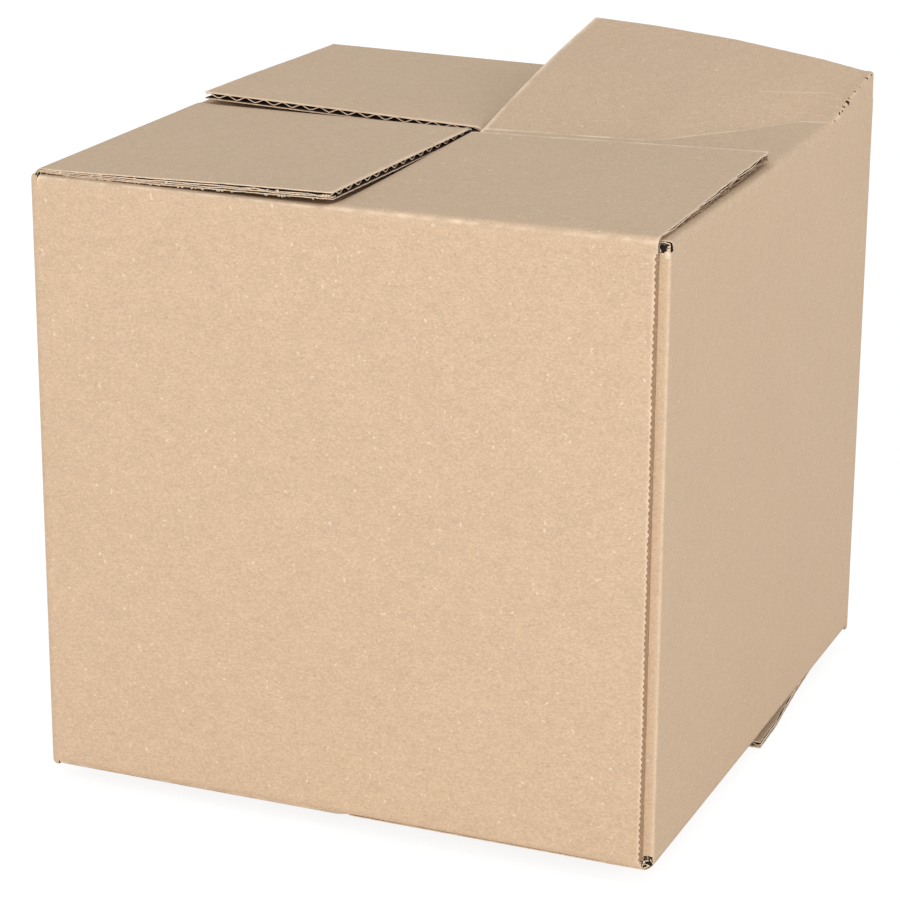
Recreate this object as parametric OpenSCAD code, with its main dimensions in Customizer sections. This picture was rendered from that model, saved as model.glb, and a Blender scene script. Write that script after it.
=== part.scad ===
// Closed corrugated cardboard box: one folded blank, its flaps tucked over and under
// each other at the top and at the bottom. The origin is the centre of the footprint.
// X runs left to right, Y front to back, Z up.

/* [Box] */
// Outside width, left wall to right wall
box_w = 200; // [160:1:300]
// Outside depth, front wall to back wall
box_d = 212; // [160:1:300]
// Height of the walls, from bottom fold to top fold
wall_h = 191; // [100:1:300]

/* [Board] */
// Thickness of the single-wall board
board_t = 2.6; // [2.5:0.1:4]
// Thickness of each flat liner
liner_t = 0.45; // [0.3:0.05:0.5]
// Thickness of the waved medium between the liners
medium_t = 0.4; // [0.3:0.05:0.5]
// Distance from one flute to the next
flute_pitch = 6.6; // [5:0.1:9]
// Thickness of the board where it is crushed at the middle of the closure
crushed_t = 1.7; // [1.2:0.05:1.8]

/* [Folds] */
// Outer radius of every fold
fold_r = 3.5; // [3.2:0.1:5]
// Thickness of the scored board in a fold
score_t = 2.1; // [1.9:0.1:3]

/* [Flaps] */
// Distance from the left and right flaps' free edges to the middle
side_gap = 2; // [1.5:0.5:6]
// Distance from the front and back flaps' free edges to the middle
end_gap = 3.5; // [1.5:0.5:6]
// Inset of a flap's end from the corner of the box, half of a slot
slot_inset = 4; // [3.5:0.5:8]
// Depth of the slots below the folds
slot_depth = 6; // [4:0.5:12]

/* [Top closure] */
// Rise of the front flap's free right half over the fold
front_lift = 3.4; // [3.2:0.1:8]
// Rise of the back flap's free left half over the fold
back_lift = 3.4; // [3.2:0.1:8]
// Rise of the left flap's free front half over the fold
left_lift = 4; // [3.2:0.1:8]
// Rise of the right flap's free back corner
bent_lift = 17.8; // [8:0.1:30]
// Rise of the split fold at the back corner
split_lift = 7.2; // [4:0.1:12]
// Drop of each flap's tucked half below the fold
tuck_drop = 3; // [2.8:0.1:5]
// Height of the flaps over the fold where the four of them meet
meet_lift = 0.6; // [0.4:0.1:1]

/* [Bottom closure] */
// Drop of the bottom flaps' free halves, on which the box stands
foot_drop = 4.2; // [3.4:0.1:8]
// How far the bottom back flap's free edge lies to the right of its fold, where it shows
// below the right wall
askew = 3.6; // [0:0.1:3.8]

/* [Joint] */
// Gap from the front panel's cut edge to the right wall's outer face
joint_gap = 3.7; // [3:0.1:8]
// Width of the glued lap behind the front panel
lap_w = 35; // [25:1:45]
// Pitch of the front panel's serrated cut
serration_pitch = 1.9; // [1:0.1:3]
// Depth of the serrated cut
serration_depth = 0.5; // [0.2:0.05:0.8]

/* [Hidden] */

kraft = [0.78, 0.66, 0.52];
half_w = box_w / 2;
half_d = box_d / 2;
side_flap = half_w - side_gap;
end_flap = half_d - end_gap;
// The box stands on its bottom flaps, so its bottom folds are above the floor
bottom_z = foot_drop;
top_z = bottom_z + wall_h;
half_flute = flute_pitch / 2;
// Half the width of the glued foot of a flute
foot = medium_t * 0.6;
arc_steps = 4;
// Share of the thickness that the board keeps at a cut side near its fold and at a free edge,
// and the distance from the cut side at which it is at full thickness again
side_crush = 0.65;
edge_crush = 0.88;
side_run = 12;
// Small steps between the slots and the flaps, between the teeth and their liner, and
// between a wall's inner face and its flap's
slot_step = 0.3;
tooth_step = 0.1;
root_step = 0.1;
// Length of the flutes that are open at a free edge, at the top and at the bottom
flute_depth = 30;
foot_depth = 20;
// Distance from the middle at which the crushed board is at full thickness again
crush_reach = 16;
// Length over which a tucked half drops, and the distance on the free side of the middle at
// which the front and back flaps begin to drop
tuck_run = flute_pitch;
end_shift = 1.6;
// The bent flap's crease: share of the flap's length from the fold, then share of the way
// from the middle to the flap's back end
crease = [[0, 0.55], [0.12, 0.52], [0.245, 0.333], [0.347, 0.22], [0.46, 0.078], [1, 0.01]];
// Lines across the bent flap behind its crease, as shares of the same way
bent_lines = [0.7, 0.87, 1];
// How a flap's free half rises from the middle to its end: evenly at the top; at the bottom
// to a level pad on which the box stands, and on the right flap up again at the front wall
even_rise = [[0, 0], [0.25, 0.25], [0.5, 0.5], [0.87, 0.87], [1, 1]];
pad_rise = [[0, 0], [0.25, 0.5], [0.5, 1], [0.87, 1], [1, 1]];
held_rise = [[0, 0], [0.2, 0.6], [0.4, 1], [0.7, 1], [1, 0.2]];
// Rise from which a fold goes on upright from its wall, and the depth of the half flutes
// that show where it is split
pulled_up = 2;
split_depth = 1.6;
// How the bent flap bows up between its crease and its back edge
bent_crown = 0.07;
// Share of the bent flap's rise over the share of its length from the fold
bent_bow = [[0, 0], [0.18, 0.3], [0.49, 0.68], [0.78, 0.9], [1, 1]];

function mix(a, b, f) = a + (b - a) * f;
function clamp(x) = max(0, min(1, x));
function range(a, b) = b < a ? [] : [for (i = [a:b]) i];
function reversed(l) = [for (i = [len(l) - 1:-1:0]) l[i]];
// Triangles between two chains of points that run side by side, given with their places
function zipped(a, ua, b, ub, i = 0, j = 0) =
    i == len(a) - 1 && j == len(b) - 1 ? []
    : j == len(b) - 1 || (i < len(a) - 1 && ua[i + 1] <= ub[j + 1])
    ? concat([[b[j], a[i + 1], a[i]]], zipped(a, ua, b, ub, i + 1, j))
    : concat([[b[j], b[j + 1], a[i]]], zipped(a, ua, b, ub, i, j + 1));

// Rows of a flap, from the fold to the free edge. A row has the distance s from the wall's
// outer face, the share of the lift that the free half has there, the share of the drop that
// the tucked half has, and the thickness of the board.
function top_rows(length) = [
    [fold_r, 0.3, 0.2, score_t],
    [10, 0.34, 0.6, mix(score_t, board_t, 0.6)],
    [22, 0.42, 1, board_t],
    [0.5 * length, 0.65, 1, board_t],
    [length - flute_depth, 0.82, 1, board_t],
    [length, 1, 1, board_t]
];
function bottom_rows(length) = [
    [fold_r, 0.06, 0.78, score_t],
    [10, 0.07, 1, mix(score_t, board_t, 0.6)],
    [0.36 * length, 0.08, 1.1, board_t],
    [0.58 * length, 0.4, 1.1, board_t],
    [length - foot_depth, 1, 1.1, board_t],
    [length, 1, 1.1, board_t]
];

// Thickness at a free edge, which is crushed where the four flaps meet
function edge_t(u, t) = mix(crushed_t, t * edge_crush, clamp(abs(u) / crush_reach));
// Share of the thickness that is left near a flap's cut sides, far being the share of the way
// from the fold to the free edge
function side_share(u, u_end, far) =
    mix(mix(side_crush, 1, far), 1, clamp((u_end - abs(u)) / side_run));

// Height of a flap's upper face over the fold, u along the fold from the middle. from is where
// it begins to drop; line gives the share of the lift over the share of the way from there to
// the flap's end.
function lift_at(u, row, lift, line, u_end, from) =
    u < from - tuck_run ? -tuck_drop * row[2]
    : u < from ? mix(meet_lift * row[1], -tuck_drop * row[2], (from - u) / tuck_run)
    : mix(meet_lift * row[1], lift * row[1], lookup((u - from) / (u_end - from), line));

// A board cut from a fold to its free edge, as one closed skin. us are the lines along the
// flutes, rows the lines across them, upper and lower two functions of a line and a row.
// Flutes are open at the last row, between us[first] and the board's last line, which is cut
// through a flute.
module fluted_board(us, row_count, upper, lower, first) {
    m = len(us);
    last = row_count - 1;
    open_row = last - 1;
    u_end = us[m - 1];
    hole_count = 2 * floor((u_end - us[first]) / flute_pitch) - 1;
    function place(u, j, i) = u <= us[i + 1] || i == m - 2
        ? [for (f = [(u - us[i]) / (us[i + 1] - us[i])])
            [mix(lower(us[i], j), lower(us[i + 1], j), f), mix(upper(us[i], j), upper(us[i + 1], j), f)]][0]
        : place(u, j, i + 1);
    function inside(u, j, share) = let (pair = place(u, j, 0)) mix(pair[0], pair[1], share);
    function board_at(u, j) = let (pair = place(u, j, 0)) norm(pair[1] - pair[0]);
    // A hole's two base points and its tip; the last one is half a hole, cut by the board's end
    function hole(h, j) =
        let (
            u = u_end - (hole_count - h) * half_flute,
            t = board_at(u, j),
            up = h % 2 == 0,
            thin = min(1, t / board_t),
            base = liner_t * thin / t,
            tip = 1 - (liner_t + medium_t) * thin / t,
            right = h == hole_count ? u : u + half_flute - foot
        )
        [inside(u - half_flute + foot, j, up ? base : 1 - base),
         inside(right, j, up ? base : 1 - base),
         inside(u, j, up ? tip : 1 - tip)];
    skin = [for (j = range(0, last), u = us, p = [upper(u, j), lower(u, j)]) p];
    holes = [for (j = [open_row, last], h = range(0, hole_count), p = hole(h, j)) p];
    function top_i(i, j) = (j * m + i) * 2;
    function low_i(i, j) = top_i(i, j) + 1;
    function hole_i(h, j, q) = len(skin) + ((j == last ? hole_count + 1 : 0) + h) * 3 + q;
    function is_up(h) = h % 2 == 0;
    sheets = [for (j = range(0, last - 1), i = range(0, m - 2)) each [
        [top_i(i, j), top_i(i, j + 1), top_i(i + 1, j)],
        [top_i(i + 1, j), top_i(i, j + 1), top_i(i + 1, j + 1)],
        [low_i(i, j), low_i(i + 1, j), low_i(i, j + 1)],
        [low_i(i + 1, j), low_i(i + 1, j + 1), low_i(i, j + 1)]
    ]];
    root = [for (i = range(0, m - 2)) each [
        [top_i(i, 0), top_i(i + 1, 0), low_i(i + 1, 0)], [top_i(i, 0), low_i(i + 1, 0), low_i(i, 0)]]];
    near_end = [for (j = range(0, last - 1)) [top_i(0, j), low_i(0, j), low_i(0, j + 1), top_i(0, j + 1)]];
    b = m - 1;
    far_end = [for (j = range(0, open_row - 1)) concat(
        [low_i(b, j), top_i(b, j), top_i(b, j + 1)],
        j + 1 == open_row ? [hole_i(hole_count, open_row, 1), hole_i(hole_count, open_row, 2)] : [],
        [low_i(b, j + 1)])];
    far_lips = [
        [top_i(b, open_row), top_i(b, last), hole_i(hole_count, last, 1), hole_i(hole_count, open_row, 1)],
        [hole_i(hole_count, open_row, 2), hole_i(hole_count, last, 2), low_i(b, last), low_i(b, open_row)]
    ];
    // The walls of each hole, seen from inside it, and its blind end
    walls = [for (h = range(0, hole_count), e = concat([[1, 0], [0, 2]], h == hole_count ? [] : [[2, 1]]))
        let (
            p = is_up(h) ? e[0] : e[1], q = is_up(h) ? e[1] : e[0],
            a0 = hole_i(h, open_row, p), b0 = hole_i(h, open_row, q),
            a1 = hole_i(h, last, p), b1 = hole_i(h, last, q)
        )
        each [[a0, b0, b1], [a0, b1, a1]]];
    blinds = [for (h = range(0, hole_count)) is_up(h)
        ? [hole_i(h, open_row, 0), hole_i(h, open_row, 1), hole_i(h, open_row, 2)]
        : [hole_i(h, open_row, 0), hole_i(h, open_row, 2), hole_i(h, open_row, 1)]];
    // The free edge: the solid board up to the flutes, then the liners and the medium
    solid_end = concat(
        [for (i = range(0, first - 1))
            [top_i(i + 1, last), top_i(i, last), low_i(i, last), low_i(i + 1, last)]],
        [[hole_i(1, last, 0), top_i(first, last), hole_i(0, last, 2)],
         [hole_i(0, last, 2), top_i(first, last), hole_i(0, last, 0)],
         [hole_i(0, last, 0), top_i(first, last), low_i(first, last)]]);
    function liner_chain(from) = [for (h = [from:2:hole_count], q = [0, 1]) hole_i(h, last, q)];
    function chain_u(from) = [for (h = [from:2:hole_count], q = [0, 1]) hole(h, last)[q][0]];
    outer_u = [for (i = range(first, b)) us[i]];
    upper_liner = zipped([for (i = range(first, b)) top_i(i, last)], outer_u, liner_chain(1), chain_u(1));
    lower_liner = [for (t = zipped([for (i = range(first, b)) low_i(i, last)], outer_u,
        liner_chain(0), chain_u(0))) reversed(t)];
    feet = [for (h = range(1, hole_count - 1)) is_up(h)
        ? [hole_i(h - 1, last, 1), hole_i(h, last, 2), hole_i(h + 1, last, 0)]
        : [hole_i(h + 1, last, 0), hole_i(h, last, 2), hole_i(h - 1, last, 1)]];
    last_foot = [[hole_i(hole_count, last, 2), hole_i(hole_count - 1, last, 1), low_i(b, last)]];
    medium = [for (h = range(0, hole_count - 1)) is_up(h)
        ? [hole_i(h, last, 1), hole_i(h + 1, last, 2), hole_i(h + 1, last, 0), hole_i(h, last, 2)]
        : [hole_i(h, last, 2), hole_i(h + 1, last, 0), hole_i(h + 1, last, 2), hole_i(h, last, 1)]];
    polyhedron(
        points = concat(skin, holes),
        faces = concat(sheets, root, near_end, far_end, far_lips, walls, blinds,
            solid_end, upper_liner, lower_liner, feet, last_foot, medium),
        convexity = 10);
}

// A board that leaves the top of a wall at z = -fold_r, turns over the fold and runs to its
// free edge. lift is a function of a line and a row: the upper face's height over the fold.
module folded_board(us, rows, lift) {
    function turn(j) = 90 * j / arc_steps;
    u_end = us[len(us) - 1];
    // A fold that is pulled up far goes on upright from the wall before it turns
    function raised(u, j) = let (rise = lift(u, rows[0]))
        rise > pulled_up ? rise * min(1, j) : rise * pow(sin(turn(j)), 4);
    function upper(u, j) = j <= arc_steps
        ? [u, fold_r * (1 - cos(turn(j))), fold_r * (sin(turn(j)) - 1) + raised(u, j)]
        : [u, rows[j - arc_steps][0], lift(u, rows[j - arc_steps])];
    function plain(u, j) = j == arc_steps + len(rows) - 1 ? edge_t(u, board_t) : rows[j - arc_steps][3];
    function thickness(u, j) = j < arc_steps
        ? mix(board_t - root_step, score_t * side_share(u, u_end, 0), j / arc_steps)
        : plain(u, j) * side_share(u, u_end, (j - arc_steps) / (len(rows) - 1));
    function lower(u, j) = j <= arc_steps
        ? upper(u, j) + thickness(u, j) * [0, cos(turn(j)), -sin(turn(j))]
        : upper(u, j) - [0, 0, thickness(u, j)];
    fluted_board(us, arc_steps + len(rows), function (u, j) upper(u, j), function (u, j) lower(u, j), 3);
}

// A flap that lies over its neighbour at the right and is tucked under the one at the left
module tucked_flap(span, rows, lift, line, from) {
    u_end = span / 2 - slot_inset;
    us = concat([-u_end, side_run - u_end, from - tuck_run], [for (p = line) mix(from, u_end, p[0])]);
    folded_board(us, rows, function (u, row) lift_at(u, row, lift, line, u_end, from));
}

// Rise of the bent flap behind its crease: s is the distance from the wall's outer face
function bend_at(u, s, u_end) =
    let (
        share = s / side_flap,
        start = u_end * lookup(share, crease),
        rise = mix(split_lift, bent_lift, lookup(share, bent_bow))
    )
    u <= start ? 0 : let (way = (u - start) / (u_end - start))
        rise * (way + bent_crown * sin(180 * way));

// The right flap: tucked under the front flap, over the back flap, creased across its middle,
// its fold pulled up and split behind the crease
module bent_flap() {
    u_end = half_d - slot_inset;
    us = concat([-u_end, side_run - u_end, -tuck_run, 0], [for (i = [4:-1:0]) crease[i][1] * u_end],
        bent_lines * u_end);
    plain = top_rows(side_flap);
    rows = [
        plain[0],
        [crease[1][0] * side_flap, 0.6, 0.7, plain[1][3]],
        for (i = [2:4]) [crease[i][0] * side_flap, 0.6, 1, board_t],
        plain[4],
        plain[5]
    ];
    split_from = crease[0][1] * u_end;
    difference() {
        folded_board(us, rows, function (u, row)
            lift_at(u, row, meet_lift, even_rise, u_end, 0) + bend_at(u, row[0], u_end));
        for (h = [1:floor((u_end - split_from) / half_flute)])
            split_flute(split_from + h * half_flute, h % 2 == 0, u_end);
    }
}

// A flute that shows where the outer liner of the fold is split
module split_flute(u, up, u_end) {
    base = (board_t / 2 - liner_t) * (up ? -1 : 1);
    translate([u, split_depth / 4, bend_at(u, fold_r, u_end) - fold_r / 2])
        rotate([0, 0, 90]) rotate([0, 50, 0])
            rotate([0, -90, 0])
                linear_extrude(2 * split_depth, center = true)
                    polygon([[base, -half_flute + foot], [base, half_flute - foot], [-base, 0]]);
}

// Three or four flaps of one closure, each over the next: front, right, back and left. shifts
// gives how far their free edges lie to the side of their folds.
module closure(rows_of, lifts, lines, shifts) {
    for (i = [0:3]) if (lifts[i] > 0) {
        is_end = i % 2 == 0;
        slope = shifts[i] / (is_end ? end_flap : side_flap);
        rotate(90 * i) translate([0, is_end ? -half_d : -half_w, 0])
            multmatrix([[1, slope, 0, 0], [0, 1, 0, 0], [0, 0, 1, 0]])
            tucked_flap(is_end ? box_w : box_d, rows_of(is_end ? end_flap : side_flap),
                lifts[i], lines[i], is_end ? end_shift - shifts[i] : 0);
    }
}

module rounded_rect(w, d, r) {
    square([w - 2 * r, d], center = true);
    square([w, d - 2 * r], center = true);
    for (x = [-1, 1], y = [-1, 1]) translate([x * (w / 2 - r), y * (d / 2 - r)]) circle(r, $fn = 32);
}

// A quarter of a fold, seen from above, with its centre at the origin
module corner_bend() {
    intersection() {
        difference() {
            circle(fold_r, $fn = 32);
            circle(fold_r - board_t, $fn = 32);
        }
        translate([0, -2 * fold_r]) square(2 * fold_r);
    }
}

// The four panels and the lap, seen from above. The front panel stops short of the right
// wall, which bends round behind it as the glued lap.
module wall_section() {
    difference() {
        rounded_rect(box_w, box_d, fold_r);
        rounded_rect(box_w - 2 * board_t, box_d - 2 * board_t, fold_r - board_t);
        translate([half_w - joint_gap, -half_d - 1]) square([joint_gap + 1, board_t + fold_r + 1]);
        // The front panel is cut through a flute
        translate([half_w - joint_gap, -half_d + board_t / 2])
            polygon([[0.1, liner_t - board_t / 2], [-half_flute, board_t / 2 - liner_t],
                [0.1, board_t / 2 - liner_t]]);
    }
    translate([half_w - fold_r, -half_d + board_t + fold_r]) corner_bend();
    translate([half_w - lap_w, -half_d + board_t]) square([lap_w - fold_r, board_t]);
}

// The serrated edge of the front panel's outer liner
module serrated_edge(height) {
    teeth = round(height / serration_pitch);
    translate([half_w - joint_gap, -half_d + liner_t - tooth_step, 0])
        rotate([90, 0, 0])
            linear_extrude(liner_t - tooth_step)
                polygon(concat([[-2 * liner_t, 0], [-2 * liner_t, height]], [for (i = [2 * teeth:-1:0])
                    [i % 2 == 0 ? -liner_t / 2 : serration_depth, i * height / teeth / 2]]));
}

// A slot with a tapered end, cut down a corner between two flaps. The wall beside it ends a
// little nearer to the corner than the flap does.
module slot() {
    hull() {
        translate([0, 0, slot_inset - slot_depth])
            linear_extrude(slot_depth) square(2 * (slot_inset - slot_step), center = true);
        translate([0, 0, -slot_depth]) linear_extrude(slot_step) square(slot_inset, center = true);
    }
}

module walls() {
    low = bottom_z + fold_r;
    high = top_z - fold_r;
    difference() {
        translate([0, 0, low]) linear_extrude(high - low) wall_section();
        for (x = [-1, 1], y = [-1, 1]) translate([x * half_w, y * half_d, 0]) {
            translate([0, 0, top_z]) slot();
            translate([0, 0, bottom_z]) rotate([180, 0, 0]) slot();
        }
    }
    translate([0, 0, bottom_z + slot_depth]) serrated_edge(wall_h - 2 * slot_depth);
}

module folded_box() {
    color(kraft) {
        walls();
        translate([0, 0, top_z]) {
            closure(function (l) top_rows(l), [front_lift, 0, back_lift, left_lift],
                [even_rise, even_rise, even_rise, even_rise], [0, 0, 0, 0]);
            rotate(90) translate([0, -half_w, 0]) bent_flap();
        }
        translate([0, 0, bottom_z]) rotate([0, 180, 0])
            closure(function (l) bottom_rows(l), [foot_drop, foot_drop, foot_drop, foot_drop],
                [pad_rise, pad_rise, pad_rise, held_rise], [0, 0, askew, 0]);
    }
}

folded_box();
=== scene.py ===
"""A closed cardboard box: one blank of corrugated board, its flaps tucked over and under each other."""

from __future__ import annotations

import logging
import math
from collections.abc import Callable
from dataclasses import dataclass, field
from enum import Enum

import bpy
import numpy as np
from mathutils import Matrix, Vector

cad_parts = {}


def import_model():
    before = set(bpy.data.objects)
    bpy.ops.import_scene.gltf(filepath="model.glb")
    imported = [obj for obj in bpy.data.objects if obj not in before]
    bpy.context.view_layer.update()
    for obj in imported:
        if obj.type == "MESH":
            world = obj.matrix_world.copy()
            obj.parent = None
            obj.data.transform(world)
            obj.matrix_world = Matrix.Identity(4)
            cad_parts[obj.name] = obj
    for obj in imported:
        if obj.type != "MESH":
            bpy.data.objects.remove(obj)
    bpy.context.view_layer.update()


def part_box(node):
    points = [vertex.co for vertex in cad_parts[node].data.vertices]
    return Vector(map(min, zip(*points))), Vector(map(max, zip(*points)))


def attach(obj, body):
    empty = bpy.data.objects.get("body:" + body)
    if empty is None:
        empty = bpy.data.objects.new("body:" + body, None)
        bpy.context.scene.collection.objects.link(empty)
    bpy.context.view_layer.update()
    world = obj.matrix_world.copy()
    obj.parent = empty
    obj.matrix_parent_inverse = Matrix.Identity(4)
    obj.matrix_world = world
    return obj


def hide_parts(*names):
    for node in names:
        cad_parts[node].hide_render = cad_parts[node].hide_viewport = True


LOG = logging.getLogger("cardboard_box")
NODE = "folded_box"
MM = 0.001
RAGGED_SPAN = (-320.0, 900.0)  # where a random line has heights, in millimetres
SMOOTH_ANGLE = math.radians(40)
UNDER_FLOOR = 0.0002  # how far the floor lies under the box, in metres
WHITE = (1, 1, 1, 1)
Array = np.ndarray
Place = Callable[[Array, Array], Array]


@dataclass(frozen=True)
class Board:
    """The corrugated board, in millimetres.

    Args:
        thick: Its thickness.
        liner: Thickness of its liners.
        medium: Thickness of the waved paper between them.
        pitch: Distance from one flute to the next.
        scored: Its thickness in a fold.
        score_run: Distance over which it thickens beside a fold.
        crushed: Its thickness where the four flaps meet.
        crush_reach: How far from there it is crushed.
        edge_crush: Its thickness at the free edges, as a share.
        edge_run: Distance over which it thins to a free edge.
        side_crush: Its thickness at a cut side's root, as a share.
        side_run: Distance over which it thins to a cut side.
        fold_r: Outer radius of the folds.
    """

    thick: float = 2.6
    liner: float = 0.34
    medium: float = 0.34
    pitch: float = 6.6
    scored: float = 2.1
    score_run: float = 14.0
    crushed: float = 1.75
    crush_reach: float = 12.0
    edge_crush: float = 0.88
    edge_run: float = 30.0
    side_crush: float = 0.65
    side_run: float = 12.0
    fold_r: float = 3.5


@dataclass(frozen=True)
class Carton:
    """The box's driving sizes, in millimetres, from the frame and the folds.

    Args:
        half_w: Half the width, from the middle to the right wall.
        half_d: Half the depth, from the middle to the back wall.
        foot: Height of the bottom folds over the floor.
        wall: Height of the walls from fold to fold.
        inset: Distance of a flap's end from the corner.
        bend_r: Outer radius of the corners between the walls.
        side_gap: Distance from the side flaps' free edges to the middle.
        end_gap: Distance from the end flaps' free edges to the middle.
        joint_gap: Distance from the front wall's cut edge to the right wall.
        lap: Width of the glued lap.
    """

    half_w: float
    half_d: float
    foot: float = 4.2
    wall: float = 191.0
    inset: float = 3.0
    bend_r: float = 2.8
    side_gap: float = 2.0
    end_gap: float = 3.5
    joint_gap: float = 3.7
    lap: float = 35.0

    @property
    def top(self) -> float:
        """Height of the top folds over the floor."""
        return self.foot + self.wall


def smooth(x: Array | float) -> Array | float:
    """A soft step from 0 to 1."""
    x = np.clip(x, 0.0, 1.0)
    return x * x * (3.0 - 2.0 * x)


def ragged(at: Array, seed: int, step: float, amount: float) -> Array:
    """An uneven line through random heights that are a step apart.

    Args:
        at: Places along the line, in millimetres.
        seed: Seed of the heights.
        step: Distance from one height to the next.
        amount: Largest height either way.

    Returns:
        The line's height at each place.
    """
    knots = np.arange(*RAGGED_SPAN, step)
    heights = np.random.default_rng(seed).uniform(-amount, amount, len(knots))
    return np.interp(at, knots, heights)


def line_along(off: Array, width: float) -> Array:
    """A soft line: 1 at no distance, falling to 0 over about twice its width."""
    return np.exp(-((off / width) ** 2))


def deselect() -> None:
    """Deselects every object."""
    bpy.ops.object.select_all(action="DESELECT")


def activate(piece: bpy.types.Object) -> None:
    """Selects one piece alone and makes it active.

    Args:
        piece: The piece.
    """
    deselect()
    piece.select_set(True)
    bpy.context.view_layer.objects.active = piece


def apply_modifier(piece: bpy.types.Object, kind: str, **settings: object) -> None:
    """Adds a modifier to a piece and applies it.

    Args:
        piece: The piece.
        kind: The modifier's type.
        settings: Values of the modifier's properties.
    """
    activate(piece)
    modifier = piece.modifiers.new(kind.lower(), kind)
    for key, value in settings.items():
        setattr(modifier, key, value)
    bpy.ops.object.modifier_apply(modifier=modifier.name)


def join(pieces: list[bpy.types.Object], name: str) -> bpy.types.Object:
    """Joins pieces into one and names it.

    Args:
        pieces: The pieces, the first of which takes up the others.
        name: Name of the whole.

    Returns:
        The whole.
    """
    activate(pieces[0])
    for piece in pieces:
        piece.select_set(True)
    bpy.ops.object.join()
    pieces[0].name = name
    pieces[0].data.name = name
    return pieces[0]


@dataclass
class Paper:
    """A sheet of paper: a grid laid over a surface and given its thickness.

    Args:
        name: The sheet's name.
        across: Places of the grid's lines in the first direction, in millimetres.
        along: Places of the grid's lines in the second direction.
        place: Gives the points of a grid of places, in millimetres.
        thick: The sheet's thickness, in millimetres.
        face: Material of its faces.
        rim: Material of its cut edges.
        wear_and_highlight: Gives how far the paper is lightened at the grid's places, partly by
            abrasion and partly as painted highlight, from 0 to 1.
        back: Material of the face that isn't on the surface, where it's another.
    """

    name: str
    across: Array
    along: Array
    place: Place
    thick: float
    face: bpy.types.Material
    rim: bpy.types.Material
    wear_and_highlight: Callable[[Array, Array], Array] | None = None
    back: bpy.types.Material | None = None

    def build(self) -> bpy.types.Object:
        """Makes the sheet.

        Returns:
            The sheet's object, closed, with its rim in the second material.
        """
        deselect()
        bpy.ops.mesh.primitive_grid_add(
            x_subdivisions=len(self.across) - 1, y_subdivisions=len(self.along) - 1, size=2
        )
        piece = bpy.context.object
        piece.name = self.name
        mesh = piece.data
        flat = np.empty(len(mesh.vertices) * 3)
        mesh.vertices.foreach_get("co", flat)
        flat = flat.reshape(-1, 3)
        column = np.rint((flat[:, 0] + 1) / 2 * (len(self.across) - 1)).astype(int)
        row = np.rint((flat[:, 1] + 1) / 2 * (len(self.along) - 1)).astype(int)
        a, b = self.across[column], self.along[row]
        mesh.vertices.foreach_set("co", (self.place(a, b) * MM).ravel())
        shade = mesh.attributes.new("wear_and_highlight", "FLOAT", "POINT")
        shade.data.foreach_set("value", self.wear_and_highlight(a, b) if self.wear_and_highlight else np.zeros(len(a)))
        for material in (self.face, self.rim, self.back or self.face):
            mesh.materials.append(material)
        apply_modifier(
            piece, "SOLIDIFY", thickness=self.thick * MM, offset=-1,
            material_offset_rim=1, material_offset=2,
        )
        activate(piece)
        bpy.ops.object.shade_smooth_by_angle(angle=SMOOTH_ANGLE)
        return piece


@dataclass
class Crumbs:
    """Small bits of torn paper.

    Args:
        name: The object's name.
        spots: Their middles, in millimetres.
        sizes: Their half sizes along X, Y and Z, in millimetres.
        material: Their material.
        seed: Seed of their turns and dents.
        turned: How far they are turned at random, in radians.
        dented: How far their corners go in and out, as shares.
    """

    name: str
    spots: Array
    sizes: Array
    material: bpy.types.Material
    seed: int
    turned: float = 0.35
    dented: tuple[float, float] = (-0.28, 0.2)

    def build(self) -> bpy.types.Object:
        """Makes the bits.

        Returns:
            One object with all of them, each closed.
        """
        draw = np.random.default_rng(self.seed)
        bits = []
        for spot, size in zip(self.spots, self.sizes):
            deselect()
            turn = draw.uniform(-1, 1, 3) * 3
            bpy.ops.mesh.primitive_ico_sphere_add(subdivisions=2, radius=1, rotation=turn)
            bit = bpy.context.object
            bpy.ops.object.transform_apply(location=False, rotation=True, scale=False)
            flat = np.empty(len(bit.data.vertices) * 3)
            bit.data.vertices.foreach_get("co", flat)
            dents = 1 + draw.uniform(*self.dented, (len(flat) // 3, 1))
            points = flat.reshape(-1, 3) * dents * size * MM
            bit.data.vertices.foreach_set("co", points.ravel())
            bit.data.attributes.new("wear_and_highlight", "FLOAT", "POINT")
            bit.data.materials.append(self.material)
            bit.location = Vector(spot) * MM
            bit.rotation_euler = draw.uniform(-self.turned, self.turned, 3)
            bits.append(bit)
        whole = join(bits, self.name)
        bpy.ops.object.transform_apply(location=True, rotation=True, scale=True)
        return whole


class Signal:
    """A shader socket that is used in sums and products."""

    def __init__(self, tree: bpy.types.NodeTree, socket: bpy.types.NodeSocket) -> None:
        """Keeps the socket and its tree."""
        self.tree = tree
        self.socket = socket

    def _math(self, operation: str, first: object, second: object) -> Signal:
        """Adds one Math node."""
        return node(self.tree, "ShaderNodeMath", {"operation": operation}, {0: first, 1: second})

    def __add__(self, other: object) -> Signal:
        """This plus the other."""
        return self._math("ADD", self, other)

    def __radd__(self, other: object) -> Signal:
        """The other plus this."""
        return self._math("ADD", other, self)

    def __sub__(self, other: object) -> Signal:
        """This less the other."""
        return self._math("SUBTRACT", self, other)

    def __rsub__(self, other: object) -> Signal:
        """The other less this."""
        return self._math("SUBTRACT", other, self)

    def __mul__(self, other: object) -> Signal:
        """This times the other."""
        return self._math("MULTIPLY", self, other)

    def __rmul__(self, other: object) -> Signal:
        """The other times this."""
        return self._math("MULTIPLY", other, self)


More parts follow.
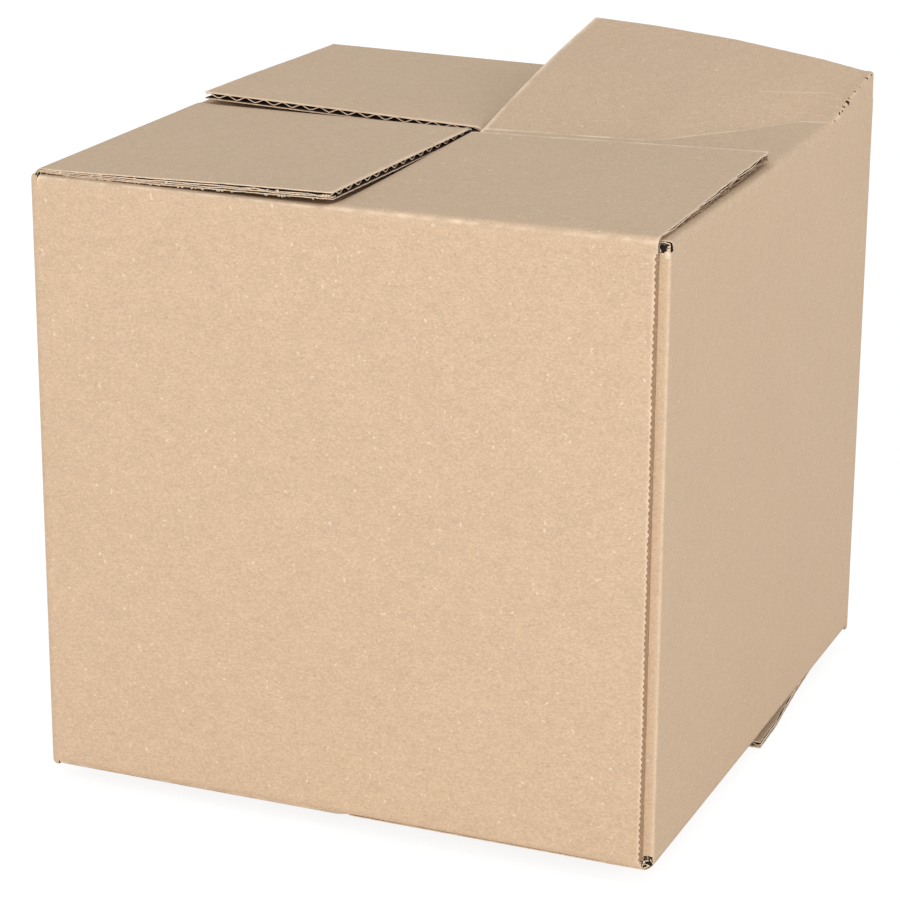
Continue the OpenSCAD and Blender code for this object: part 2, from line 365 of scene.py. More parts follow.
def node(
    tree: bpy.types.NodeTree,
    kind: str,
    settings: dict[str, object],
    values: dict[int | str, object],
    out: int | str = 0,
) -> Signal:
    """Adds any shader node.

    Args:
        tree: The tree that gets it.
        kind: The node's type.
        settings: Its properties, which are set first.
        values: Values or signals of its sockets, by name or number.
        out: The name or number of the output that is returned.

    Returns:
        That output as a signal.
    """
    made = tree.nodes.new(kind)
    for key, value in settings.items():
        setattr(made, key, value)
    for key, value in values.items():
        if isinstance(value, Signal):
            tree.links.new(value.socket, made.inputs[key])
        else:
            made.inputs[key].default_value = value
    return Signal(tree, made.outputs[out])


class Grain(Enum):
    """How the paper's fibres lie: the scale of its pattern along X, Y and Z."""

    WALL = (1.0, 1.0, 1.7)
    ALONG_X = (1.0, 1.7, 1.7)
    ALONG_Y = (1.7, 1.0, 1.7)


# Features a metre of the paper's patterns, the first four from wide to fine.
CLOUDS, BLOTCHES, GRIT, DUST = 38.0, 260.0, 1250.0, 2600.0
PALE_FLECKS, DARK_FLECKS = 620.0, 760.0


@dataclass(frozen=True)
class KraftFinish:
    """The finish of recycled kraft paper.

    Args:
        name: The material's name.
        colour: Its linear colour.
        grain: How its fibres lie.
        mottle: How far its colour wanders, as a share.
        fleck: How strongly its light and dark flecks show.
        rough: Its roughness.
        bump: Height of its grain, in millimetres.
        wear_and_highlight_colour: The linear colour of its lightened folds, creases and edges, partly
            abrasion and partly painted highlight.
        pale: The linear colour of its light flecks.
        dark: The linear colour of its dark flecks.
    """

    name: str
    colour: tuple[float, float, float]
    grain: Grain = Grain.WALL
    mottle: float = 0.22
    fleck: float = 1.0
    rough: float = 0.86
    bump: float = 0.05
    wear_and_highlight_colour: tuple[float, float, float] = (0.84, 0.66, 0.49)
    pale: tuple[float, float, float] = (0.86, 0.72, 0.56)
    dark: tuple[float, float, float] = (0.2, 0.13, 0.08)

    def _noise(self, tree: bpy.types.NodeTree, where: Signal, scale: float, detail: float) -> Signal:
        """Adds a noise.

        Args:
            tree: The material's tree.
            where: The places that it reads.
            scale: Features a metre.
            detail: Number of its finer layers.

        Returns:
            The noise, from 0 to 1.
        """
        return node(
            tree, "ShaderNodeTexNoise", {"noise_dimensions": "3D"},
            {"Vector": where, "Scale": scale, "Detail": detail, "Roughness": 0.6},
        )

    def _band(self, tree: bpy.types.NodeTree, value: Signal, low: float, high: float) -> Signal:
        """Adds a soft step between two values.

        Args:
            tree: The material's tree.
            value: What is compared.
            low: The lower value.
            high: The higher value.

        Returns:
            0 below the lower value, 1 above the higher, soft between.
        """
        return node(
            tree, "ShaderNodeMapRange", {"interpolation_type": "SMOOTHSTEP"},
            {"Value": value, "From Min": low, "From Max": high},
        )

    def _tint(self, tree: bpy.types.NodeTree, under: Signal, over: tuple, share: Signal) -> Signal:
        """Lays a colour over another by a share.

        Args:
            tree: The material's tree.
            under: The colour below.
            over: The colour that is laid over it.
            share: How far it covers, from 0 to 1.

        Returns:
            The mixed colour.
        """
        return node(
            tree, "ShaderNodeMix", {"data_type": "RGBA"},
            {"Factor": share, 6: under, 7: (*over, 1.0)}, out=2,
        )

    def build(self) -> bpy.types.Material:
        """Makes the material.

        Returns:
            The material, with its pattern on Object coordinates.
        """
        material = bpy.data.materials.new(self.name)
        material.use_nodes = True
        tree = material.node_tree
        shader = tree.nodes["Principled BSDF"]
        place = node(tree, "ShaderNodeTexCoord", {}, {}, out="Object")
        fibres = node(tree, "ShaderNodeMapping", {}, {"Vector": place, "Scale": self.grain.value})
        cloud = self._noise(tree, place, CLOUDS, 3.0)
        blotch = self._noise(tree, fibres, BLOTCHES, 4.0)
        grit = self._noise(tree, fibres, GRIT, 2.0)
        dust = self._noise(tree, place, DUST, 1.0)
        light = (cloud - 0.5) * (self.mottle * 0.3) + (blotch - 0.5) * (self.mottle * 0.9)
        light = light + (grit - 0.5) * (self.mottle * 2.4) + (dust - 0.5) * (self.mottle * 1.2) + 1.0
        base = node(
            tree, "ShaderNodeVectorMath", {"operation": "SCALE"}, {0: self.colour, "Scale": light}
        )
        pale = self._band(tree, self._noise(tree, place, PALE_FLECKS, 1.0), 0.7, 0.78)
        base = self._tint(tree, base, self.pale, pale * (0.5 * self.fleck))
        dark = self._band(tree, self._noise(tree, fibres, DARK_FLECKS, 1.0), 0.7, 0.8)
        base = self._tint(tree, base, self.dark, dark * (0.3 * self.fleck))
        # Lightened where the mask is set: partly abrasion, partly painted highlight along folds,
        # creases, bends and edges.
        wear_and_highlight = node(tree, "ShaderNodeAttribute", {"attribute_name": "wear_and_highlight"}, {}, out="Fac")
        wear_and_highlight_mix = wear_and_highlight * (0.4 + blotch * 1.1)
        base = self._tint(tree, base, self.wear_and_highlight_colour, self._band(tree, wear_and_highlight_mix, 0.08, 1.0))
        tree.links.new(base.socket, shader.inputs["Base Color"])
        rough = (blotch - 0.5) * 0.12 + self.rough
        tree.links.new(rough.socket, shader.inputs["Roughness"])
        height = grit * 0.5 + blotch * 0.9
        bump = node(
            tree, "ShaderNodeBump", {}, {"Height": height, "Distance": self.bump * MM, "Strength": 1.0}
        )
        tree.links.new(bump.socket, shader.inputs["Normal"])
        shader.inputs["Specular IOR Level"].default_value = 0.22
        return material


KRAFT = (0.603, 0.444, 0.302)
# The pale, furry cut edge of a liner.
CUT_EDGE = KraftFinish("cut_edge", (0.68, 0.53, 0.39), mottle=0.45, fleck=1.4, rough=0.95, bump=0.12)
# Painted shade: near black for the waved paper and the liners' faces inside the flutes, where shade
# falls.
FLUTE_SHADE = KraftFinish("medium", (0.055, 0.034, 0.022), mottle=0.2, fleck=0.0, rough=0.95)
# The cut edge of the waved paper.
FLUTE_EDGE = KraftFinish("flute_edge", (0.76, 0.6, 0.46), mottle=0.4, fleck=0.5, rough=0.95)
# Painted shade: a darker brown for the front wall's cut and the front flap's cut side, which lie in
# shade.
CUT_SHADE = KraftFinish("cut_shade", (0.36, 0.238, 0.145), mottle=0.35, fleck=0.5, rough=0.95)
# The almost black inside of the torn slots.
DEEP_SHADE = KraftFinish("deep_shade", (0.02, 0.013, 0.01), mottle=0.2, fleck=0.0, rough=1.0)
# The whitish grey inside of torn paper.
TORN_PAPER = KraftFinish(
    "torn_paper", (0.74, 0.63, 0.48), mottle=0.3, fleck=0.3, rough=0.98, bump=0.15
)


@dataclass
class Finishes:
    """The materials of the box, each made once."""

    made: dict[str, bpy.types.Material] = field(default_factory=dict)

    def of(self, finish: KraftFinish) -> bpy.types.Material:
        """The material of a finish.

        Args:
            finish: The finish.

        Returns:
            Its material, which the first call makes.
        """
        if finish.name not in self.made:
            self.made[finish.name] = finish.build()
        return self.made[finish.name]

    def liner(self, grain: Grain) -> bpy.types.Material:
        """The smooth outer paper, with its fibres one way."""
        return self.of(KraftFinish(f"kraft_liner_{grain.name.lower()}", KRAFT, grain))


def dress(piece: bpy.types.Object) -> bpy.types.Object:
    """Makes a finished piece stand for the folded blank.

    Args:
        piece: The piece.

    Returns:
        The same piece.
    """
    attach(piece, "root")
    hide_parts(NODE)
    LOG.info("%s: %d faces", piece.name, len(piece.data.polygons))
    return piece


@dataclass
class Flap:
    """One flap, drawn from its fold to its free edge.

    Its methods take u, the way along the fold from the middle, s, the distance from the wall's
    outer face, and d, the distance along the board from the top of the wall, in millimetres.

    Args:
        name: The piece's name.
        quarter: Quarter turns from the front wall, seen from outside the closure.
        reach: Half the wall's width.
        set_back: Distance from the middle to the wall's outer face.
        length: The flap's length from the wall's outer face.
        lift: Rise of the free half over the fold at its end.
        skew: How far the flutes drift from the cut side along the flap.
        seed: Seed of its ragged edges.
        frayed: Whether bits of torn paper show along the free half's cut side.
        side_shaded: Whether that cut side is painted darker brown with shade under the outer liner.
        drop: Drop of the tucked half below the fold.
        meet: Height over the fold where the four flaps meet.
        dip: Distance on the free side of the middle at which the flap begins to drop.
        askew: How far the free edge lies to the side of the fold.
        cut_back: How far the tucked half's cut side is set back beside the fold.
        back_width: Width over which it is set back.
        back_reach: Distance from the fold over which it is.
        tightest: Outer radius of the fold where it is pulled up.
        outer_step: Distance between the columns of its outer liner.
        inner_step: Distance between the columns of its inner liner.
        rim: Width of the uneven strip along its cut edges.
        bits: Number of bits of torn paper along a frayed cut side.
        at_top: Whether it closes the top rather than the bottom.
        board: The board's sizes.
        carton: The box's sizes.
    """

    name: str
    quarter: int
    reach: float
    set_back: float
    length: float
    lift: float
    skew: float = 0.0
    seed: int = 1
    frayed: bool = False
    side_shaded: bool = False
    drop: float = 3.0
    meet: float = 0.6
    dip: float = 0.0
    askew: float = 0.0
    cut_back: float = 0.0
    back_width: float = 9.0
    back_reach: float = 16.0
    tightest: float = 1.3
    outer_step: float = 1.65
    inner_step: float = 1.65
    rim: float = 2.5
    bits: int = 80
    at_top: bool = True
    board: Board = field(default_factory=Board)
    carton: Carton | None = None

    @property
    def end(self) -> float:
        """Distance from the middle to the flap's end."""
        return self.reach - self.carton.inset

    @property
    def arc(self) -> float:
        """Length of the board in the fold."""
        return self.board.fold_r * math.pi / 2

    @property
    def far(self) -> float:
        """Length of the board from the top of the wall to the flap's free edge."""
        return self.arc + self.length - self.board.fold_r

    def from_wall(self, d: Array) -> Array:
        """Distances from the wall's outer face of places along the board."""
        return np.maximum(self.board.fold_r, self.board.fold_r + d - self.arc)

    def lift_share(self, s: Array) -> Array:
        """Share of the lift at a distance from the wall.

        Args:
            s: Distances from the wall's outer face.

        Returns:
            The shares.
        """
        if self.at_top:
            ways = [0.035, 0.1, 0.22, 0.5, 0.7, 1.0]
            return np.interp(s / self.length, ways, [0.3, 0.34, 0.42, 0.65, 0.82, 1.0])
        edge = self.length
        places = [self.board.fold_r, 0.36 * edge, 0.58 * edge, edge - 20, edge]
        return np.interp(s, places, [0.06, 0.08, 0.4, 1.0, 1.0])

    def drop_share(self, s: Array) -> Array:
        """Share of the drop at a distance from the wall.

        Args:
            s: Distances from the wall's outer face.

        Returns:
            The shares.
        """
        start = self.board.fold_r
        if self.at_top:
            return np.interp(s, [start, 6, 10, 20, 35, 60], [0.2, 0.36, 0.52, 0.7, 0.86, 1.0])
        return np.interp(s, [start, 10, 36], [0.78, 1.0, 1.1])

    def rise(self, way: Array) -> Array:
        """Share of the rise on the way from the middle to the end.

        Args:
            way: Shares of the way from the middle to the flap's end.

        Returns:
            The shares of the rise there.
        """
        if self.at_top:
            return way
        corner = -0.15 if self.quarter == 3 else 1
        return np.interp(way, [0, 0.25, 0.5, 0.7, 1], [0, 0.5, 1, 1, corner])

    def height(self, u: Array, s: Array) -> Array:
        """Height of the outer face over the fold.

        Args:
            u: Places along the fold.
            s: Distances from the wall's outer face.

        Returns:
            The heights, in millimetres.
        """
        up = self.lift_share(s)
        start = self.dip - self.askew
        way = np.clip((u - start) / (self.end - start), 0, 1)
        free = up * (self.meet + (self.lift - self.meet) * self.rise(way))
        tucked = -self.drop * self.drop_share(s)
        return free + (tucked - free) * smooth((start - u) / self.board.pitch)

    def thick(self, u: Array, s: Array) -> Array:
        """Thickness of the board, thinner in the fold and crushed where the flaps meet.

        Args:
            u: Places along the fold.
            s: Distances from the wall's outer face.

        Returns:
            The thicknesses, in millimetres.
        """
        b = self.board
        plain = b.scored + (b.thick - b.scored) * smooth((s - b.fold_r) / b.score_run)
        whole_edge = b.thick * b.edge_crush
        edge = b.crushed + (whole_edge - b.crushed) * np.clip(np.abs(u) / b.crush_reach, 0, 1)
        whole = plain + (edge - plain) * smooth((s - self.length + b.edge_run) / b.edge_run)
        kept = b.side_crush + (1 - b.side_crush) * np.clip(s / self.length, 0, 1)
        return whole * (kept + (1 - kept) * smooth((self.end - np.abs(u)) / b.side_run))

    def at(self, u: Array, d: Array, depth: Array) -> Array:
        """Points at a depth of the board under its outer face.

        Args:
            u: Places along the fold.
            d: Distances along the board from the top of the wall.
            depth: Shares of the board's thickness.

        Returns:
            The points, in millimetres, in the shared frame.
        """
        r = self.board.fold_r
        tight = r + (self.tightest - r) * self.pulled(u)
        turn = np.clip(d / r, 0, math.pi / 2)
        run = (self.length - tight) / (self.length - r)
        s = np.where(d < self.arc, tight * (1 - np.cos(turn)), tight + (d - self.arc) * run)
        level = self.height(u, np.maximum(s, r))
        # Where the fold is pulled up, the board rises at its start and not along its turn.
        upright = smooth((level - 1.2) / 2)
        first = smooth(turn / 0.45)
        eased = np.sin(turn) ** 4 * (1 - upright) + first * upright
        bent = tight * (np.sin(turn) - 1) - (r - tight) * (1 - first)
        z = np.where(d < self.arc, bent + level * eased, level)
        board_t = self.board.thick + (self.board.scored - self.board.thick) * turn / (math.pi / 2)
        board_t = np.where(d < self.arc, board_t, self.thick(u, s))
        s = s + board_t * depth * np.cos(turn)
        z = z - board_t * depth * np.sin(turn)
        return self.to_frame(u, s, z)

    def to_frame(self, u: Array, s: Array, z: Array) -> Array:
        """Turns the flap's own places into points of the shared frame.

        Args:
            u: Places along the fold.
            s: Distances from the wall's outer face.
            z: Heights over the fold.

        Returns:
            The points, in millimetres.
        """
        turn = self.quarter * math.pi / 2
        x, y = u + self.askew * np.clip(s / self.length, 0, 1), s - self.set_back
        x, y = x * math.cos(turn) - y * math.sin(turn), x * math.sin(turn) + y * math.cos(turn)
        if self.at_top:
            return np.stack([x, y, self.carton.top + z], axis=1)
        return np.stack([-x, y, self.carton.foot - z], axis=1)

    def shaped(self, depth: Callable[[Array, Array], Array], tear: float, seed: int) -> Place:
        """A sheet of the board at a depth, with its cut sides uneven.

        Args:
            depth: Gives the depth as a share of the thickness.
            tear: How far the cut sides wander.
            seed: Seed of the wandering.

        Returns:
            What gives the sheet's points.
        """
        tear = tear if self.frayed else tear * 0.5
        rim = self.rim

        def place(u: Array, d: Array) -> Array:
            """Gives the sheet's points.

            Args:
                u: Places along the fold.
                d: Distances along the board from the top of the wall.

            Returns:
                The points, in millimetres.
            """
            u = self.drawn(u, d)
            beside = np.clip((-u - self.end + self.back_width) / self.back_width, 0, 1)
            u = u + self.cut_back * beside * (1 - smooth(d / self.back_reach))
            side = np.clip((np.abs(u) - self.end + rim) / rim, 0, 1) * smooth(d / 6)
            uneven = ragged(d, seed, 0.9, tear) + ragged(d, seed + 1, 7, tear) - tear
            u_cut = u + np.sign(u) * side * uneven
            near = np.clip((d - self.far + rim) / rim, 0, 1)
            d_cut = d + near * (ragged(u, seed + 2, 1.7, tear * 0.35) - tear * 0.2)
            return self.at(u_cut, d_cut, depth(u, d))

        return place

    def waved(self, u: Array, d: Array) -> Array:
        """Depth of the medium's outer face as a share of the thickness.

        Args:
            u: Places along the fold.
            d: Distances along the board from the top of the wall.

        Returns:
            The depths.
        """
        b = self.board
        s = self.from_wall(d)
        t = self.thick(u, s)
        swing = np.maximum(t - 2 * b.liner - b.medium, 0.05) / 2
        wave = np.cos(2 * math.pi * ((u + self.skew * s / self.length) / b.pitch))
        wave = np.clip(np.arcsin(wave * 0.985) * 0.8, -1, 1)
        if self.frayed:
            at_side = smooth((np.abs(u) - self.end + 3) / 2)
            wave = wave + (ragged(d, self.seed + 30, 5, 0.6) - 0.1 - wave) * at_side
        return ((t - b.medium) / 2 + swing * wave) / t

    def wear_and_highlight(self, u: Array, d: Array) -> Array:
        """How far the outer face is lightened along its fold and its cut edges, partly by abrasion and
        partly as painted highlight.

        Args:
            u: Places along the fold.
            d: Distances along the board from the top of the wall.

        Returns:
            How far it is lightened there, from 0 to 1.
        """
        # Lightened along the fold, the free edge and the cut sides: partly abrasion and fraying, partly
        # painted highlight.
        fold_patchiness = np.clip(0.5 + ragged(u, self.seed + 6, 2.5, 0.35), 0, 1)
        fold = line_along(d - self.arc * 0.5, 1.1) * fold_patchiness
        frayed = np.clip(0.85 + ragged(u, self.seed + 5, 6, 0.3), 0, 1)
        edge = line_along(self.far - d, 1.25) * frayed
        return np.clip(fold + edge + line_along(self.end - np.abs(u), 0.8) * 0.5, 0, 1)

    def drawn(self, u: Array, d: Array) -> Array:
        """Places along the fold at which a column's points lie, which is straight here."""
        return u

    def pulled(self, u: Array) -> Array:
        """How far the fold is pulled up and sharp, from 0 to 1."""
        return np.full(len(u), 0.5 if self.at_top else 0.0)

    def rows(self) -> Array:
        """Gives the sheet's rows, closer in the fold and at the edge.

        Returns:
            Their distances along the board from the top of the wall.
        """
        risen, near = self.arc + 20, self.far - 6
        fold = np.linspace(0, self.arc, 9)
        rise = np.linspace(self.arc, risen, 11)[1:]
        middle = np.linspace(risen, near, 34)[1:]
        edge = np.linspace(near, self.far, 7)[1:]
        return np.concatenate([fold, rise, middle, edge])

    def columns(self, step: float) -> Array:
        """Gives the sheet's columns.

        Args:
            step: Distance from one column to the next.

        Returns:
            Their places along the fold.
        """
        inner = np.arange(-self.end + 3, self.end - 3, step)
        edge = np.array([0.0, 0.8, 1.6, 2.3])
        return np.concatenate([-self.end + edge, inner, self.end - edge[::-1]])

    def build(self, finishes: Finishes) -> bpy.types.Object:
        """Makes the flap from its two liners and its medium.

        Args:
            finishes: The materials.

        Returns:
            The flap as one piece.
        """
        grain = Grain.ALONG_X if self.quarter % 2 == 0 else Grain.ALONG_Y
        liner, cut, medium = finishes.liner(grain), finishes.of(CUT_EDGE), finishes.of(FLUTE_SHADE)
        b = self.board

        def under(u: Array, d: Array) -> Array:
            """Depth of the inner liner's outer face as a share of the thickness."""
            return 1 - b.liner / self.thick(u, self.from_wall(d))

        outer = Paper(
            f"{self.name}_outer", self.columns(self.outer_step), self.rows(),
            self.shaped(lambda u, d: np.zeros(len(u)), 0.16, self.seed),
            b.liner, liner, cut, self.wear_and_highlight,
        ).build()
        # The inner liner's face toward the flutes takes the flute material, which is painted shade.
        inner = Paper(
            f"{self.name}_inner", self.columns(self.inner_step), self.rows(),
            self.shaped(under, 0.34, self.seed + 10),
            b.liner, medium, finishes.of(self.side_finish()), back=liner,
        ).build()
        # The waved paper is painted near black with shade.
        wave = Paper(
            f"{self.name}_wave", self.columns(b.pitch / 8), self.rows()[::2],
            self.shaped(self.waved, 0.3, self.seed + 20),
            b.medium, medium, finishes.of(FLUTE_EDGE),
        ).build()
        self.split(outer)
        return dress(join([outer, inner, wave, *self.fray(finishes)], self.name))

    def side_finish(self) -> KraftFinish:
        """The finish of its cut sides under the outer liner, painted darker with shade where the side
        is shaded.
        """
        return CUT_SHADE if self.side_shaded else CUT_EDGE

    def split(self, outer: bpy.types.Object) -> None:
        """Cuts what is split in the outer liner, which is nothing on a plain flap."""

    def fray(self, finishes: Finishes) -> list[bpy.types.Object]:
        """Makes the loose ply and the bits of torn paper along the cut side that shows; the bits are
        pale, and brown with painted shade where the side is shaded.

        Args:
            finishes: The materials.

        Returns:
            The ply and the bits, or nothing where no cut side shows.
        """
        if not self.frayed:
            return []
        draw = np.random.default_rng(self.seed + 40)
        count, depths = self.bits, [0.36, 0.5, 0.95, 1.06, 1.1]
        d = np.sort(draw.uniform(self.arc + 2, self.far - 0.6, count))
        u = np.full(count, self.end - 0.2) - draw.uniform(0, 0.3, count)
        spots = self.at(u, d, draw.choice(depths, count))
        sizes = draw.uniform(0.12, 0.26, (count, 3)) * np.array([1.0, 1.0, 0.9])
        sizes[:, 1 if self.quarter % 2 == 0 else 0] *= draw.uniform(1.0, 3.4, count)
        # The loose ply's face is painted near black with shade.
        ply = Paper(
            f"{self.name}_ply", self.end - np.array([2.2, 1.4, 0.7, 0.1]), self.rows()[8:],
            self.shaped(lambda u, d: 0.6 + ragged(d, self.seed + 31, 3, 0.06), 0.3, self.seed + 32),
            self.board.liner, finishes.of(FLUTE_SHADE), finishes.of(self.side_finish()),
        ).build()
        # On a shaded side the bits take the painted-shade brown.
        torn = finishes.of(CUT_SHADE if self.side_shaded else TORN_PAPER)
        return [ply, Crumbs(f"{self.name}_bits", spots, sizes, torn, self.seed).build()]


# The holes in the split fold: share of the way along it, width in millimetres, share of its turn.
SPLIT_HOLES = (
    (0.04, 0.8, 0.62), (0.17, 1.2, 0.7), (0.22, 1.0, 0.5), (0.27, 1.2, 0.66), (0.36, 2.0, 0.52),
    (0.42, 1.1, 0.78), (0.56, 1.1, 0.75), (0.66, 0.9, 0.5), (0.86, 1.6, 0.62), (0.95, 1.2, 0.45),
)


@dataclass
class BentFlap(Flap):
    """The right flap: its back half is bent up over a crease, and its fold is split there.

    Args:
        split_lift: How far the split fold is pulled up at the flap's end.
        bent_lift: Rise of the free corner over where a flat flap's would be.
        crown: How far the bent part bulges, as a share of its rise.
        soft: How soft the crease is, as a share of the bent part's width.
    """

    split_lift: float = 7.2
    bent_lift: float = 17.8
    crown: float = 0.07
    soft: float = 0.008
    outer_step: float = 1.1

    def rows(self) -> Array:
        """Distances along the board of the sheet's rows, all close."""
        fold, flat = np.linspace(0, self.arc, 13), np.linspace(self.arc, self.far, 80)
        return np.concatenate([fold, flat[1:]])

    def columns(self, step: float) -> Array:
        """Gives the sheet's columns, one of which is the crease, with others close to it.

        Args:
            step: Distance from one column to the next.

        Returns:
            Their places along the fold.
        """
        close = np.array([-2.1, -1.3, -0.7, -0.3, 0.0, 0.3, 0.7, 1.3, 2.1])
        plain = Flap.columns(self, step)
        plain = plain[(np.abs(plain - self.line_at) > 2.6) & (np.abs(plain - self.second_at) > 1.1)]
        return np.sort(np.concatenate([plain, self.line_at + close, self.second_at + close[2:7]]))

    def pulled(self, u: Array) -> Array:
        """How far the fold is pulled up and sharp, from 0 to 1."""
        start = self.crease(np.zeros(1))[0]
        return 0.5 + 0.5 * smooth((u - start + 6) / 9)

    def split(self, outer: bpy.types.Object) -> None:
        """Breaks holes into the outer liner along the pulled-up fold.

        Args:
            outer: The outer liner.
        """
        shares, widths, turns = np.array(SPLIT_HOLES).T
        start = self.crease(np.zeros(1))[0] + 1
        u = start + (self.end - start) * shares
        spots = self.at(u, self.board.fold_r * (math.pi / 2 * turns), np.full(len(u), 0.12))
        sizes = np.stack([widths * 0.5, widths * 0.75, widths * 0.6], axis=1)
        rim = outer.data.materials[1]
        cutter = Crumbs("split_holes", spots, sizes, rim, self.seed + 61, turned=0.8).build()
        apply_modifier(outer, "BOOLEAN", object=cutter, operation="DIFFERENCE", solver="EXACT")
        activate(cutter)
        bpy.ops.object.delete()

    @property
    def line_at(self) -> float:
        """Place of the crease's column before it is drawn to the crease."""
        return 0.28 * self.end

    @property
    def second_at(self) -> float:
        """Place of the column that a faint second crease follows."""
        return self.line_at + 0.48 * (self.end - self.line_at)

    def drawn(self, u: Array, d: Array) -> Array:
        """Draws the columns to the sides so that one of them follows the crease.

        Args:
            u: Places along the fold.
            d: Distances along the board from the top of the wall.

        Returns:
            The places along the fold at which the columns' points lie.
        """
        line, before = self.crease(self.from_wall(d)), u < self.line_at
        left = -self.end + (u + self.end) * (line + self.end) / (self.line_at + self.end)
        right = line + (u - self.line_at) * (self.end - line) / (self.end - self.line_at)
        return np.where(before, left, right)

    def crease(self, s: Array) -> Array:
        """Where the crease runs at a distance from the wall.

        Args:
            s: Distances from the wall's outer face.

        Returns:
            How far behind the middle it is, in millimetres.
        """
        share = np.interp(
            s / self.length, [0, 0.12, 0.245, 0.347, 0.46, 1], [0.55, 0.52, 0.333, 0.22, 0.078, 0.01]
        )
        return share * self.end + ragged(s, 91, 9, 0.5) * smooth(s / 20)

    def height(self, u: Array, s: Array) -> Array:
        """Height of the outer face over the fold.

        Args:
            u: Places along the fold.
            s: Distances from the wall's outer face.

        Returns:
            The heights, in millimetres.
        """
        flat = Flap.height(self, u, s)
        start = self.crease(s)
        bow = np.interp(s / self.length, [0, 0.18, 0.49, 0.78, 1], [0, 0.3, 0.68, 0.9, 1])
        rise = self.split_lift + (self.bent_lift - self.split_lift) * bow
        way = (u - start) / (self.end - start)
        way = (way + np.sqrt(way * way + self.soft * self.soft)) / 2
        return flat + rise * (way + self.crown * np.sin(math.pi * np.clip(way, 0, 1)))

    def wear_and_highlight(self, u: Array, d: Array) -> Array:
        """How far the outer face is lightened at its edges, its crease and a faint second line, partly
        by abrasion and partly as painted highlight.

        Args:
            u: Places along the fold.
            d: Distances along the board from the top of the wall.

        Returns:
            How far it is lightened there, from 0 to 1.
        """
        s, drawn = self.from_wall(d), self.drawn(u, d)
        # Lightened lines along the crease and the faint second crease, partly crushed fibres and partly
        # painted highlight; the split fold's crack is pale torn paper.
        line = line_along(drawn - self.crease(s), 0.75) * np.clip(0.75 + ragged(s, 77, 4, 0.45), 0, 1)
        line = line * smooth((d - 3) / 4)
        edges = Flap.wear_and_highlight(self, u, d) * smooth((s - self.length + 20) / 20)
        second = line_along(u - self.second_at, 0.6) * np.clip(0.7 + ragged(s, 78, 5, 0.3), 0, 1)
        second = second * smooth((s - 5) / 5) * smooth((36 - s) / 8)
        crack = line_along(d - self.arc * 0.6, 1.1) * (0.4 + ragged(u, 79, 1.2, 0.3))
        crack = crack * (self.pulled(drawn) - 0.5) * 2
        return np.clip(edges + line + second + crack, 0, 1)


